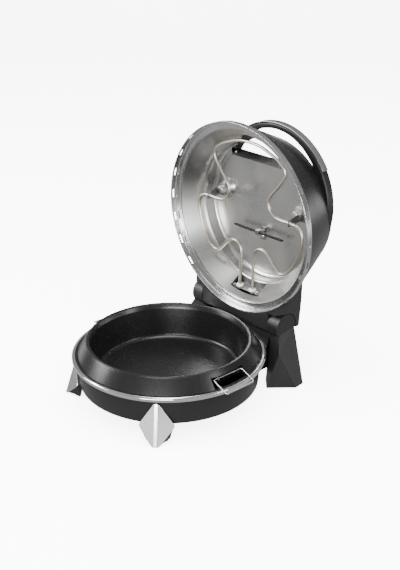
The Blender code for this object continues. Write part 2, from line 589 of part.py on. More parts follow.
# hinge block: behind the lid, between and around the legs' knuckles
block_section = [(0.0600, 0.0884), (0.1885, 0.0884), (0.1930, 0.0930), (0.1930, 0.1360), (0.1870, 0.1430), (0.1390, 0.1480), (0.0600, 0.1505)]
block = prism(block_section, -0.1120, 0.1120, "x")
for s in (1, -1):
    x = sorted((s * (KNUCKLE_X0 - GAP * 2), s * 0.13))
    quadrant = prism([(HINGE_Y - 0.0245, HINGE_Z), (HINGE_Y - 0.0245, 0.05), (0.25, 0.05), (0.25, HINGE_Z + 0.0248), (HINGE_Y, HINGE_Z + 0.0248)], x[0], x[1], "x")
    ring = cylinder((x[0], HINGE_Y, HINGE_Z), (1, 0, 0), 0.0247, x[1] - x[0], 36)
    block = cut(block, join(quadrant, ring))
    tip = box(x[0], x[1], 0.1870, 0.2100, 0.08, 0.16)
    block = cut(block, tip)
    c = [(s * 0.1020, 0.0800), (s * 0.1020, 0.0884), (s * 0.1122, 0.1085), (s * 0.1200, 0.1085), (s * 0.1200, 0.0800)]
    block = cut(block, prism(c, 0.05, 0.20, "y"))
block = cut(block, shell_space)
block = cut(block, lathe([(0, 0.05), (LID_RIM_R + 0.0004, 0.05), (LID_RIM_R + 0.0004, 0.1100), (0, 0.1100)]))
block = cut(block, cylinder((-0.13, HINGE_Y, HINGE_Z), (1, 0, 0), BORE_R, 0.26, 24))
add("hinge_block", block, CHARCOAL, lid_hinge, smooth=25)

# ---- heater element, one bent rod, mirror-symmetric
HALF_PATH = [(0.0160, 0.1480), (0.0160, 0.1360), (0.0157, 0.1150), (0.0152, 0.0850), (0.0175, 0.0690), (0.0265, 0.0595), (0.0400, 0.0585), (0.0530, 0.0660), (0.0650, 0.0790),
             (0.0770, 0.0885), (0.0900, 0.0880), (0.1040, 0.0770), (0.1160, 0.0600), (0.1250, 0.0380), (0.1300, 0.0150), (0.1275, 0.0005),
             (0.1170, -0.0085), (0.1000, -0.0105), (0.0810, -0.0100), (0.0650, -0.0125), (0.0530, -0.0220), (0.0490, -0.0350), (0.0540, -0.0480),
             (0.0670, -0.0630), (0.0800, -0.0790), (0.0870, -0.0920), (0.0850, -0.1030), (0.0740, -0.1130), (0.0520, -0.1230), (0.0270, -0.1310), (0.0, -0.1335)]
half = [(x, y, HEATER_Z - 0.0035 * max(0.0, min(1.0, (y - 0.05) / 0.08))) for x, y in HALF_PATH]
full = half + [(-x, y, z) for x, y, z in reversed(half[:-1])]
path = spline(full, 1)
add("heater_element", tube(path, HEATER_R, 8), HEATER, lid_hinge)

# ---- terminal box: a flat plate and the sides that take it back to the liner
term = box(-0.0347, 0.0347, 0.1433, 0.1445, 0.1130, 0.1382)
sides = cut(box(-0.0347, 0.0347, 0.1200, 0.1440, 0.1143, 0.1382), box(-0.0337, 0.0337, 0.1100, 0.1600, 0.1000, 0.1372))
sides = cut(sides, lathe([(0, 0.09), (0.1658, 0.09), (LINER_R0, LINER_Z0), (LINER_R1, LINER_Z1), (0.1330, 0.1500), (0, 0.1500)]))
term = join(term, sides)
LEAD_X, LEAD_Z = 0.0160, HEATER_Z - 0.0035
for s in (1, -1):
    term = cut(term, cylinder((s * LEAD_X, 0.13, LEAD_Z), (0, 1, 0), 0.0053, 0.02, 16))
    for x, z in ((0.0280, 0.1320), (0.0280, 0.1190)):
        term = cut(term, cylinder((s * x, 0.13, z), (0, 1, 0), 0.0017, 0.02, 12))
add("terminal_plate", term, STAINLESS, lid_hinge, smooth=20)
bush = turned((LEAD_X, 0.1391, LEAD_Z), (0, 1, 0), [(HEATER_R + 0.0002, 0), (0.0060, 0), (0.0068, 0.0010), (0.0068, 0.0040), (0.0050, 0.0040), (0.0050, 0.0075), (HEATER_R + 0.0002, 0.0075)], 16)
pair("heater_bush", bush, CERAMIC, parent=lid_hinge)
for x, z, tag in ((0.0280, 0.1320, "upper"), (0.0280, 0.1190, "lower")):
    scr = turned((x, 0.1430, z), (0, -1, 0), [(0, -0.0030), (0.0013, -0.0030), (0.0013, 0), (0.0030, 0), (0.0030, 0.0010), (0.0022, 0.0018), (0, 0.0020)], 12)
    pair("terminal_screw_" + tag, scr, SCREW, parent=lid_hinge)

# ---- clips that hold the element off the ceiling
CLIP_X, CLIP_Y = 0.1010, -0.0107
clip = prism([(CLIP_Y - 0.0050, HEATER_Z - 0.0056), (CLIP_Y + 0.0050, HEATER_Z - 0.0056), (CLIP_Y + 0.0056, HEATER_Z + 0.0010), (CLIP_Y + 0.0020, 0.1520), (CLIP_Y - 0.0120, 0.1520), (CLIP_Y - 0.0110, 0.1380)], CLIP_X - 0.0006, CLIP_X + 0.0006, "x")
clip = join(clip, prism([(CLIP_X - 0.0100, 0.1490), (CLIP_X + 0.0110, 0.1490), (CLIP_X + 0.0110, 0.1502), (CLIP_X - 0.0100, 0.1502)], CLIP_Y - 0.0090, CLIP_Y + 0.0030, "y"))
clip = cut(clip, cylinder((CLIP_X - 0.01, CLIP_Y, HEATER_Z), (1, 0, 0), 0.0042, 0.02, 16), dome(GAP))
pair("heater_clip", clip, BRACKET, parent=lid_hinge, smooth=20)

# ---- thermostat bulb on one clip under the ceiling
BULB_Y, BULB_Z = 0.0400, 0.1490
add("thermostat_bulb", turned((-0.0624, BULB_Y, BULB_Z), (1, 0, 0), [(0, 0), (0.0010, 0), (0.0026, 0.0040), (0.0026, 0.1208), (0.0010, 0.1248), (0, 0.1248)], 12), BRACKET, lid_hinge)
bclip = join(box(-0.0045, 0.0045, BULB_Y - 0.0040, BULB_Y + 0.0040, BULB_Z - 0.0040, BULB_Z + 0.0040), box(-0.0040, 0.0040, BULB_Y - 0.0006, BULB_Y + 0.0006, BULB_Z, 0.1620), box(-0.0060, 0.0060, BULB_Y - 0.0060, BULB_Y + 0.0180, 0.1618, 0.1630))
bclip = cut(bclip, cylinder((-0.01, BULB_Y, BULB_Z), (1, 0, 0), 0.0028, 0.02, 12), cylinder((0, BULB_Y + 0.0110, 0.15), (0, 0, 1), 0.0019, 0.02, 12))
add("bulb_clip", bclip, BRACKET, lid_hinge, smooth=20)
add("bulb_clip_screw", turned((0, BULB_Y + 0.0110, 0.1616), (0, 0, -1), [(0, -0.0060), (0.0015, -0.0060), (0.0015, 0), (0.0036, 0), (0.0036, 0.0012), (0.0026, 0.0022), (0, 0.0024)], 12), SCREW, lid_hinge)

# ---- small clips in the rim near the hinge
for k, tag in ((1, "right"), (-1, "left")):
    a = math.radians(65)
    m = Matrix.Rotation(-k * a + (0 if k > 0 else 0), 4, "Z")
    c = join(box(-0.0060, 0.0060, 0.1630, 0.1690, 0.0978, 0.1001), box(-0.0020, 0.0020, 0.1640, 0.1680, 0.0955, 0.0980))
    c.transform(m)
    add("rim_clip_" + tag, c, SCREW, lid_hinge, smooth=20)

# ---- controls on the top
for k, tag, piece in ((-1, "thermostat", "thermostat"), (1, "timer", "timer")):
    x = k * KNOB_X
    body = turned((x, KNOB_Y, 0.1820), (0, 0, 1), [(0, 0), (0.0150, 0), (0.0150, 0.0270), (0.0045, 0.0270), (0.0045, 0.0300), (0.0030, 0.0300), (0.0030, 0.0420), (0, 0.0420)], 24)
    body = join(body, box(x - 0.0200, x + 0.0200, KNOB_Y - 0.0100, KNOB_Y + 0.0100, 0.2040, 0.2086))
    add(tag + "_body", body, PHENOLIC, lid_hinge)
    knob = turned((x, KNOB_Y, 0.2146), (0, 0, 1), [(0.0031, 0), (0.0175, 0), (0.0180, 0.0010), (0.0176, 0.0034), (0.0150, 0.0050), (0.0140, 0.0160), (0.0122, 0.0182), (0, 0.0190), (0, 0.0110), (0.0031, 0.0110)], 24)
    knob = join(knob, box(x - 0.0013, x + 0.0013, KNOB_Y - 0.0138, KNOB_Y + 0.0138, 0.2300, 0.2352))
    add(tag + "_knob", knob, KNOB, lid_hinge, origin=(x, KNOB_Y, 0.2146))
add("indicator_lens", turned((0, KNOB_Y + 0.012, 0.2078), (0, 0, 1), [(0, 0), (0.0056, 0), (0.0056, 0.0022), (0.0040, 0.0022), (0.0040, 0.0078), (0.0026, 0.0092), (0, 0.0095)], 20), LENS, lid_hinge)
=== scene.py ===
import json
import math

import bmesh
import bpy
from mathutils import Matrix, Vector
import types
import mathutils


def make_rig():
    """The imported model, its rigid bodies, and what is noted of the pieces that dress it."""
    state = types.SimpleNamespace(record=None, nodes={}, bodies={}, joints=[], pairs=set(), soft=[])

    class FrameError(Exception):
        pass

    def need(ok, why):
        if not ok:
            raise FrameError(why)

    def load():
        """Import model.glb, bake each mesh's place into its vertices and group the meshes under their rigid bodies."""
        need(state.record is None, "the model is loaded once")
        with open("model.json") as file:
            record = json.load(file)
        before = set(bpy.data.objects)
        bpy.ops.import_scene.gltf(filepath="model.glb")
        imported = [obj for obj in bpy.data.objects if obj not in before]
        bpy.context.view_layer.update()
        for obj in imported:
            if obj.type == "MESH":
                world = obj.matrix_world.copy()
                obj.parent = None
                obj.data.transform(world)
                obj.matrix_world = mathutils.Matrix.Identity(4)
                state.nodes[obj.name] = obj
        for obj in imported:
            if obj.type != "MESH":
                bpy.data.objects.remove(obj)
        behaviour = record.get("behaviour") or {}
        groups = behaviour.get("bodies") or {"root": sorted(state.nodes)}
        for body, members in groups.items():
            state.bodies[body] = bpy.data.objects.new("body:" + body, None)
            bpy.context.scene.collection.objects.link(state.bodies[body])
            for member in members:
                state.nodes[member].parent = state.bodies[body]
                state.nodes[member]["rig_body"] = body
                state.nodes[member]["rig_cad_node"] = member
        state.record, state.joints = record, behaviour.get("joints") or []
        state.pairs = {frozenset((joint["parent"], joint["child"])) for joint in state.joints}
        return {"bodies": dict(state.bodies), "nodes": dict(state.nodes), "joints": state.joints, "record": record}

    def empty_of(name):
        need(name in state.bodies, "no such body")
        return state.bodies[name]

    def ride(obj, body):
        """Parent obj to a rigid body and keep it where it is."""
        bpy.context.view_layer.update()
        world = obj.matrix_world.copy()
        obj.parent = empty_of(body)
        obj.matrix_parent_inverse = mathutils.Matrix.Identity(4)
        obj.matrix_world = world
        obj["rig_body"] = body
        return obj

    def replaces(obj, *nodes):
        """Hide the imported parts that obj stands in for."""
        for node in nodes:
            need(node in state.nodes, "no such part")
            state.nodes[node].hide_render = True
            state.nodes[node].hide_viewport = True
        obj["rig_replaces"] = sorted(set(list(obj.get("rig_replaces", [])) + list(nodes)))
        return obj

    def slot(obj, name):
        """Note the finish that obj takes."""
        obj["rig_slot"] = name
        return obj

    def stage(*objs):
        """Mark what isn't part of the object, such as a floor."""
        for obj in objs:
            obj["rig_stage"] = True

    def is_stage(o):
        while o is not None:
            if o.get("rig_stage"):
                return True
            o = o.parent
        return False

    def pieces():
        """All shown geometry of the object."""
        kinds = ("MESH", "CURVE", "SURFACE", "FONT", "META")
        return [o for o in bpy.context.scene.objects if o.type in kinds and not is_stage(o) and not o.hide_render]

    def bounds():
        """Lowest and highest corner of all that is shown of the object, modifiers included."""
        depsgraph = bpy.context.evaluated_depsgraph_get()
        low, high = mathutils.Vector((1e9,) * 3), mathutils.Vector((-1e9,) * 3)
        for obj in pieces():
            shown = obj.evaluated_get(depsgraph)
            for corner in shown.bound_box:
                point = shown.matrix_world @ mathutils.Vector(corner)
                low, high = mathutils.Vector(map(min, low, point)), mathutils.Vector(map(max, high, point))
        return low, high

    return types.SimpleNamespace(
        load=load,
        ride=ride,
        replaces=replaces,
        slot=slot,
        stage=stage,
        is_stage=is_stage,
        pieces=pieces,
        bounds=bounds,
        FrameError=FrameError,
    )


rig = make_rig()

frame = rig.load()
CAD_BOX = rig.bounds()
nodes = frame["nodes"]

# ------------------------------------------------------------------ layout
AY = -0.0661
HY, HZ = 0.1786, 0.1099
TH = math.radians(89.3)
LID = (Matrix.Translation((0, AY, 0)) @ Matrix.Translation((0, HY, HZ)) @ Matrix.Rotation(-TH, 4, "X") @ Matrix.Translation((0, -HY, -HZ)))
BASE = Matrix.Translation((0, AY, 0))
MIRROR = Matrix.Diagonal((-1, 1, 1, 1))
WY, WZ, WS = -0.1040, 0.1650, 0.93          # plane of the glass

# ------------------------------------------------------------------ materials


def new_mat(name):
    m = bpy.data.materials.new(name)
    m.use_nodes = True
    nt = m.node_tree
    p = nt.nodes["Principled BSDF"]
    return m, nt, p


def coords(nt, scale=1.0, obj=True):
    tc = nt.nodes.new("ShaderNodeTexCoord")
    mp = nt.nodes.new("ShaderNodeMapping")
    mp.inputs["Scale"].default_value = (scale, scale, scale) if not isinstance(scale, tuple) else scale
    nt.links.new(tc.outputs["Object"], mp.inputs["Vector"])
    return mp.outputs["Vector"]


def noise(nt, vec, scale, detail=4.0, rough=0.55):
    n = nt.nodes.new("ShaderNodeTexNoise")
    n.inputs["Scale"].default_value = scale
    n.inputs["Detail"].default_value = detail
    n.inputs["Roughness"].default_value = rough
    nt.links.new(vec, n.inputs["Vector"])
    return n.outputs["Fac"]


def ramp(nt, fac, lo, hi, a=0.3, b=0.7):
    r = nt.nodes.new("ShaderNodeMapRange")
    r.inputs["From Min"].default_value = a
    r.inputs["From Max"].default_value = b
    r.inputs["To Min"].default_value = lo
    r.inputs["To Max"].default_value = hi
    nt.links.new(fac, r.inputs["Value"])
    return r.outputs["Result"]


def mixcol(nt, fac, c0, c1, a=0.3, b=0.7):
    r = nt.nodes.new("ShaderNodeValToRGB")
    r.color_ramp.elements[0].position = a
    r.color_ramp.elements[1].position = b
    r.color_ramp.elements[0].color = (*c0, 1)
    r.color_ramp.elements[1].color = (*c1, 1)
    nt.links.new(fac, r.inputs["Fac"])
    return r.outputs["Color"]


def bump(nt, p, height, strength, distance):
    b = nt.nodes.new("ShaderNodeBump")
    b.inputs["Strength"].default_value = strength
    b.inputs["Distance"].default_value = distance
    nt.links.new(height, b.inputs["Height"])
    nt.links.new(b.outputs["Normal"], p.inputs["Normal"])


def enamel(name, c0, c1, r0, r1, grain=1400, depth=0.00003, spec=0.5, coat=0.0, coat_r=0.1, relief=0.15):
    """Baked or moulded surface: fine grain, faint mottling of tone and gloss."""
    m, nt, p = new_mat(name)
    v = coords(nt)
    big = noise(nt, v, 9, 3)
    fine = noise(nt, v, grain, 2)
    nt.links.new(mixcol(nt, big, c0, c1), p.inputs["Base Color"])
    nt.links.new(ramp(nt, noise(nt, v, 26, 5), r0, r1), p.inputs["Roughness"])
    p.inputs["Specular IOR Level"].default_value = spec
    if coat:
        p.inputs["Coat Weight"].default_value = coat
        p.inputs["Coat Roughness"].default_value = coat_r
    bump(nt, p, fine, relief, depth)
    return m


def metal(name, c0, c1, r0, r1, brush=None, aniso=0.0, depth=0.000012, relief=0.25):
    """Metal with faint brushing: brush is the stretch of the grain along x, y, z."""
    m, nt, p = new_mat(name)
    p.inputs["Metallic"].default_value = 1.0
    v = coords(nt, brush or 1.0)
    g = noise(nt, v, 420, 3, 0.6)
    w = noise(nt, coords(nt), 12, 4)
    nt.links.new(mixcol(nt, w, c0, c1), p.inputs["Base Color"])
    mix = nt.nodes.new("ShaderNodeMath")
    mix.operation = "ADD"
    nt.links.new(ramp(nt, g, r0 * 0.5, r1 * 0.5), mix.inputs[0])
    nt.links.new(ramp(nt, w, r0 * 0.5, r1 * 0.5), mix.inputs[1])
    nt.links.new(mix.outputs[0], p.inputs["Roughness"])
    if aniso:
        p.inputs["Anisotropic"].default_value = aniso
    bump(nt, p, g, relief, depth)
    return m


M = {
    "shell": enamel("shell_black", (0.0030, 0.0030, 0.0031), (0.0042, 0.0042, 0.0043), 0.24, 0.29, spec=0.50, relief=0.03),
    "bowl": enamel("bowl_black", (0.0055, 0.0055, 0.0057), (0.0075, 0.0075, 0.0077), 0.32, 0.38, spec=0.55, relief=0.08),
    "pan": enamel("pan_black", (0.0030, 0.0030, 0.0031), (0.0044, 0.0044, 0.0045), 0.25, 0.29, grain=500, depth=0.000004, spec=0.5, relief=0.03),
    "dish": enamel("dish_black", (0.0040, 0.0040, 0.0040), (0.0055, 0.0055, 0.0055), 0.42, 0.52),
    "plastic": enamel("leg_plastic", (0.0060, 0.0060, 0.0062), (0.0080, 0.0080, 0.0082), 0.40, 0.48, grain=900, depth=0.00004, spec=0.45, relief=0.10),
    "block": enamel("block_plastic", (0.0085, 0.0085, 0.0088), (0.0110, 0.0110, 0.0113), 0.40, 0.48, grain=900, depth=0.00004, spec=0.45, relief=0.10),
    "handle": enamel("handle_plastic", (0.0045, 0.0045, 0.0047), (0.0065, 0.0065, 0.0067), 0.32, 0.40, grain=1100, depth=0.00004),
    "rubber": enamel("pad_rubber", (0.012, 0.012, 0.012), (0.020, 0.020, 0.020), 0.80, 0.92, grain=700, depth=0.0001, spec=0.3),
    "knob": enamel("knob_plastic", (0.0060, 0.0060, 0.0062), (0.0085, 0.0085, 0.0087), 0.36, 0.46, grain=1000, depth=0.00005),
    "deck": metal("deck_grey", (0.26, 0.26, 0.262), (0.32, 0.32, 0.322), 0.30, 0.40, brush=(0.15, 6, 1)),
    "liner": metal("liner_stainless", (0.50, 0.496, 0.488), (0.57, 0.566, 0.557), 0.26, 0.31, depth=0.000003, relief=0.03),
    "rim": metal("rim_stainless", (0.58, 0.58, 0.575), (0.64, 0.64, 0.635), 0.20, 0.28, depth=0.000006),
    "chrome": metal("rim_chrome", (0.80, 0.80, 0.80), (0.85, 0.85, 0.85), 0.07, 0.12, depth=0.000003),
    "trim": metal("foot_trim", (0.76, 0.76, 0.765), (0.82, 0.82, 0.825), 0.16, 0.24, brush=(6, 6, 0.2), depth=0.000006, relief=0.15),
    "wire": metal("wire_chrome", (0.74, 0.74, 0.74), (0.80, 0.80, 0.80), 0.08, 0.15, depth=0.000004),
    "silver": metal("silver_band", (0.46, 0.46, 0.465), (0.52, 0.52, 0.525), 0.26, 0.34, depth=0.00001),
    "heater": metal("heater_sheath", (0.52, 0.48, 0.41), (0.62, 0.575, 0.50), 0.28, 0.38, depth=0.00002),
    "bracket": metal("bracket_steel", (0.16, 0.16, 0.16), (0.24, 0.24, 0.24), 0.30, 0.42, depth=0.00001),
    "plate": metal("terminal_plate_steel", (0.13, 0.13, 0.13), (0.19, 0.19, 0.19), 0.30, 0.40, depth=0.00001),
    "bulb": metal("bulb_steel", (0.018, 0.018, 0.018), (0.030, 0.030, 0.030), 0.36, 0.46, depth=0.00001),
    "screw": metal("screw_steel", (0.55, 0.55, 0.55), (0.66, 0.66, 0.66), 0.20, 0.32, depth=0.00001),
    "shaft": metal("shaft_steel", (0.35, 0.35, 0.36), (0.45, 0.45, 0.46), 0.28, 0.40, brush=(0.2, 5, 5), depth=0.00001),
    "ceramic": enamel("bush_ceramic", (0.62, 0.58, 0.50), (0.72, 0.69, 0.62), 0.55, 0.70, grain=800, depth=0.00005),
    "frame": metal("window_frame_grey", (0.22, 0.22, 0.222), (0.28, 0.28, 0.282), 0.26, 0.34, depth=0.000006),
    "lens": enamel("lamp_lens", (0.35, 0.010, 0.008), (0.45, 0.016, 0.012), 0.10, 0.16, grain=400, depth=0.00002, coat=0.6),
}
glass, gnt, gp = new_mat("window_glass")
gp.inputs["Base Color"].default_value = (0.96, 0.97, 0.97, 1)
gp.inputs["Transmission Weight"].default_value = 0.0
gp.inputs["Roughness"].default_value = 0.03
gp.inputs["IOR"].default_value = 1.45
gp.inputs["Alpha"].default_value = 0.06
gv = coords(gnt)
gnt.links.new(mixcol(gnt, noise(gnt, gv, 14, 3), (0.045, 0.050, 0.050), (0.060, 0.065, 0.065)), gp.inputs["Base Color"])
gnt.links.new(ramp(gnt, noise(gnt, gv, 40, 4), 0.02, 0.05), gp.inputs["Roughness"])
M["glass"] = glass

# ------------------------------------------------------------------ mesh tools


def finish_bm(bm, name, flip=False):
    bmesh.ops.recalc_face_normals(bm, faces=bm.faces)
    me = bpy.data.meshes.new(name)
    bm.to_mesh(me)
    bm.free()
    return me


def rounded(profile, radii, steps=6):
    """Rounds the corners of a closed (r, z) outline; radii is one number or one for each corner."""
    out = []
    n = len(profile)
    for i, (r, z) in enumerate(profile):
        rad = radii if not isinstance(radii, (list, tuple)) else radii[i]
        p = Vector((r, z))
        if rad <= 0 or r < 1e-6:
            out.append((r, z))
            continue
        a = Vector(profile[i - 1]) - p
        b = Vector(profile[(i + 1) % n]) - p
        la, lb = a.length, b.length
        a.normalize()
        b.normalize()
        half = math.acos(max(-1, min(1, a.dot(b)))) / 2
        if half < 0.02 or half > math.pi / 2 - 0.01:
            out.append((r, z))
            continue
        d = min(rad / math.tan(half), la * 0.48, lb * 0.48)
        rr = d * math.tan(half)
        c = p + (a + b).normalized() * (rr / math.sin(half))
        s, e = p + a * d - c, p + b * d - c
        ang = s.angle_signed(e)
        for k in range(steps + 1):
            t = -ang * k / steps
            v = Vector((s.x * math.cos(t) - s.y * math.sin(t), s.x * math.sin(t) + s.y * math.cos(t)))
            out.append((c.x + v.x, c.y + v.y))
    return out


def lathe(profile, seg=160):
    bm = bmesh.new()
    rings = []
    for r, z in profile:
        if r < 1e-7:
            rings.append([bm.verts.new((0, 0, z))] * seg)
        else:
            rings.append([bm.verts.new((r * math.cos(2 * math.pi * k / seg), r * math.sin(2 * math.pi * k / seg), z)) for k in range(seg)])
    n = len(profile)
    for i in range(n):
        if profile[i][0] < 1e-7 and profile[(i + 1) % n][0] < 1e-7:
            continue
        a, b = rings[i], rings[(i + 1) % n]
        for k in range(seg):
            vs = []
            for v in (a[k], a[(k + 1) % seg], b[(k + 1) % seg], b[k]):
                if v not in vs:
                    vs.append(v)
            bm.faces.new(vs)
    return finish_bm(bm, "lathe")


def prism(outline, lo, hi, axis="z"):
    place = {"z": lambda a, b, c: (a, b, c), "x": lambda a, b, c: (c, a, b), "y": lambda a, b, c: (a, c, b)}[axis]
    bm = bmesh.new()
    low = [bm.verts.new(place(a, b, lo)) for a, b in outline]
    top = [bm.verts.new(place(a, b, hi)) for a, b in outline]
    n = len(outline)
    bm.faces.new(low)
    bm.faces.new(list(reversed(top)))
    for k in range(n):
        bm.faces.new((low[k], low[(k + 1) % n], top[(k + 1) % n], top[k]))
    return finish_bm(bm, "prism")


def box(x0, x1, y0, y1, z0, z1):
    return prism([(x0, y0), (x1, y0), (x1, y1), (x0, y1)], z0, z1)


def cylinder(center, axis, r, length, seg=32):
    q = Vector(axis).normalized().to_track_quat("Z", "Y").to_matrix().to_4x4()
    me = lathe([(0, 0), (r, 0), (r, length), (0, length)], seg)
    me.transform(Matrix.Translation(Vector(center)) @ q)
    return me


def turned(center, axis, profile, seg=40):
    me = lathe(profile, seg)
    q = Vector(axis).normalized().to_track_quat("Z", "Y").to_matrix().to_4x4()
    me.transform(Matrix.Translation(Vector(center)) @ q)
    return me


def boolean(a, b, op="DIFFERENCE"):
    oa = bpy.data.objects.new("a", a)
    ob = bpy.data.objects.new("b", b)
    for o in (oa, ob):
        bpy.context.scene.collection.objects.link(o)
    m = oa.modifiers.new("bool", "BOOLEAN")
    m.object = ob
    m.operation = op
    m.solver = "EXACT"
    dg = bpy.context.evaluated_depsgraph_get()
    dg.update()
    me = bpy.data.meshes.new_from_object(oa.evaluated_get(dg))
    bpy.data.objects.remove(oa, do_unlink=True)
    bpy.data.objects.remove(ob, do_unlink=True)
    bm = bmesh.new()
    bm.from_mesh(me)
    bmesh.ops.remove_doubles(bm, verts=bm.verts, dist=1e-6)
    bmesh.ops.dissolve_degenerate(bm, dist=1e-6, edges=bm.edges)
    bm.to_mesh(me)
    bm.free()
    me.materials.clear()
    return me


def cut(a, *others):
    for b in others:
        a = boolean(a, b, "DIFFERENCE")
    return a


def join(a, *others):
    for b in others:
        a = boolean(a, b, "UNION")
    return a


def meet(a, b):
    return boolean(a, b, "INTERSECT")


def merged(*meshes):
    """Several meshes as one, side by side and not fused."""
    bm = bmesh.new()
    for me in meshes:
        bm.from_mesh(me)
    me = bpy.data.meshes.new("merged")
    bm.to_mesh(me)
    bm.free()
    return me


def moved(me, m):
    me = me.copy()
    me.transform(m)
    if m.determinant() < 0:
        me.flip_normals()
    return me


def tube(path, r, sides=20, closed=False, cap=True):
    pts = [Vector(p) for p in path]
    n = len(pts)
    bm = bmesh.new()
    rings = []
    ref = None
    for i, p in enumerate(pts):
        t = (pts[(i + 1) % n] - pts[i - 1]).normalized() if closed else (pts[min(i + 1, n - 1)] - pts[max(i - 1, 0)]).normalized()
        if ref is None:
            ref = t.orthogonal().normalized()
        ref = (ref - t * ref.dot(t)).normalized()
        side = t.cross(ref)
        rings.append([bm.verts.new(p + ref * r * math.cos(2 * math.pi * k / sides) + side * r * math.sin(2 * math.pi * k / sides)) for k in range(sides)])
    for i in range(n if closed else n - 1):
        a, b = rings[i], rings[(i + 1) % n]
        shift = min(range(sides), key=lambda s: (b[s].co - a[0].co).length) if closed and i == n - 1 else 0
        for k in range(sides):
            bm.faces.new((a[k], a[(k + 1) % sides], b[(k + 1 + shift) % sides], b[(k + shift) % sides]))
    if not closed and cap:
        bm.faces.new(list(reversed(rings[0])))
        bm.faces.new(rings[-1])
    return finish_bm(bm, "tube")


def spline(points, steps):
    out = []
    n = len(points)
    for i in range(n - 1):
        p0, p1, p2, p3 = (Vector(points[max(i - 1, 0)]), Vector(points[i]), Vector(points[i + 1]), Vector(points[min(i + 2, n - 1)]))
        for k in range(steps):
            t = k / steps
            out.append(0.5 * ((2 * p1) + (p2 - p0) * t + (2 * p0 - 5 * p1 + 4 * p2 - p3) * t * t + (3 * p1 - p0 - 3 * p2 + p3) * t ** 3))
    out.append(Vector(points[-1]))
    return out


def arc(cx, cy, r, a0, a1, n):
    return [(cx + r * math.cos(a0 + (a1 - a0) * k / n), cy + r * math.sin(a0 + (a1 - a0) * k / n)) for k in range(n + 1)]


def put(name, me, mat, body, place, node=None, slot=None, bevel=0.0, segs=3, angle=30, smooth=30):
    """Places a mesh given in bowl-axis coordinates (lid pieces: closed)."""
    me.transform(place)
    me.name = name
    me.materials.clear()
    me.materials.append(M[mat])
    o = bpy.data.objects.new(name, me)
    bpy.context.scene.collection.objects.link(o)
    if bevel:
        b = o.modifiers.new("edge", "BEVEL")
        b.width = bevel
        b.segments = segs
        b.limit_method = "ANGLE"
        b.angle_limit = math.radians(angle)
        b.harden_normals = False
        b.use_clamp_overlap = True
        dg = bpy.context.evaluated_depsgraph_get()
        dg.update()
        new = bpy.data.meshes.new_from_object(o.evaluated_get(dg))
        o.modifiers.clear()
        o.data = new
        me = new
    me.shade_smooth()
    me.set_sharp_from_angle(angle=math.radians(smooth))
    if bevel:
        # keep the flats flat between their rounded edges
        w = o.modifiers.new("flats", "WEIGHTED_NORMAL")
        w.weight = 90
        w.keep_sharp = True
        dg = bpy.context.evaluated_depsgraph_get()
        dg.update()
        new = bpy.data.meshes.new_from_object(o.evaluated_get(dg))
        o.modifiers.clear()
        o.data = new
    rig.ride(o, body)
    if node:
        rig.replaces(o, *([node] if isinstance(node, str) else node))
    if slot:
        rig.slot(o, slot)
    return o


def softened(node, mat, bevel, segs=3, angle=25, slot=None, smooth=35):
    """The CAD solid with its edges rounded."""
    src = nodes[node]
    me = src.data.copy()
    bm = bmesh.new()
    bm.from_mesh(me)
    bmesh.ops.remove_doubles(bm, verts=bm.verts, dist=2e-6)
    bmesh.ops.dissolve_limit(bm, angle_limit=math.radians(1.0), verts=bm.verts, edges=bm.edges)
    bm.to_mesh(me)
    bm.free()
    me.materials.clear()
    body = src["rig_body"]
    return put(node + "_look", me, mat, body, Matrix.Identity(4), node, slot, bevel, segs, angle, smooth)


# ------------------------------------------------------------------ base
put("bowl_look", lathe(rounded([(0, 0.0284), (0.1574, 0.0284), (0.1605, 0.0742), (0.1590, 0.0742), (0.1560, 0.0300), (0, 0.0300)], [0, 0.0045, 0.0004, 0.0004, 0.0035, 0], 8)),
    "bowl", "base", BASE, "base_bowl", "black_enamel")
put("rim_look", lathe(rounded([(0.1592, 0.0745), (0.1665, 0.0745), (0.1698, 0.0768), (0.1698, 0.0822), (0.1668, 0.0843), (0.1636, 0.0836), (0.1634, 0.0806), (0.1580, 0.0800), (0.1580, 0.0776), (0.1592, 0.0770)],
                              [0.0003, 0.0012, 0.0022, 0.0024, 0.0014, 0.0008, 0.0006, 0.0003, 0.0003, 0.0003], 8), 220), "chrome", "base", BASE, "chrome_rim", "bright_trim")
put("dish_look", lathe(rounded([(0, 0.0330), (0.1500, 0.0330), (0.1572, 0.0803), (0.1630, 0.0809), (0.1630, 0.0819), (0.1562, 0.0819), (0.1492, 0.0342), (0, 0.0342)],
                               [0, 0.006, 0.0006, 0.0003, 0.0003, 0.0012, 0.005, 0], 7)), "dish", "base", BASE, "base_liner", "liner_enamel")
for side in ("right", "left"):
    softened("front_foot_trim_" + side, "trim", 0.0009, 4, 8, "bright_trim", 40)
    softened("front_foot_" + side, "plastic", 0.0008, 3, 20, "charcoal_plastic")
    softened("front_foot_pad_" + side, "rubber", 0.0004, 2, 25, "foot_rubber")
    softened("rear_foot_pad_" + side, "rubber", 0.0004, 2, 25, "foot_rubber")
    softened("rear_leg_" + side, "plastic", 0.0008, 3, 8.5, "charcoal_plastic", 40)
softened("rear_bridge", "plastic", 0.0008, 3, 25, "charcoal_plastic")
softened("rear_deck", "deck", 0.0005, 3, 25, "grey_deck")
softened("power_inlet", "knob", 0.0003, 2, 35, "control_body")
nodes["hinge_shaft"].data.materials.clear()
nodes["hinge_shaft"].data.materials.append(M["shaft"])

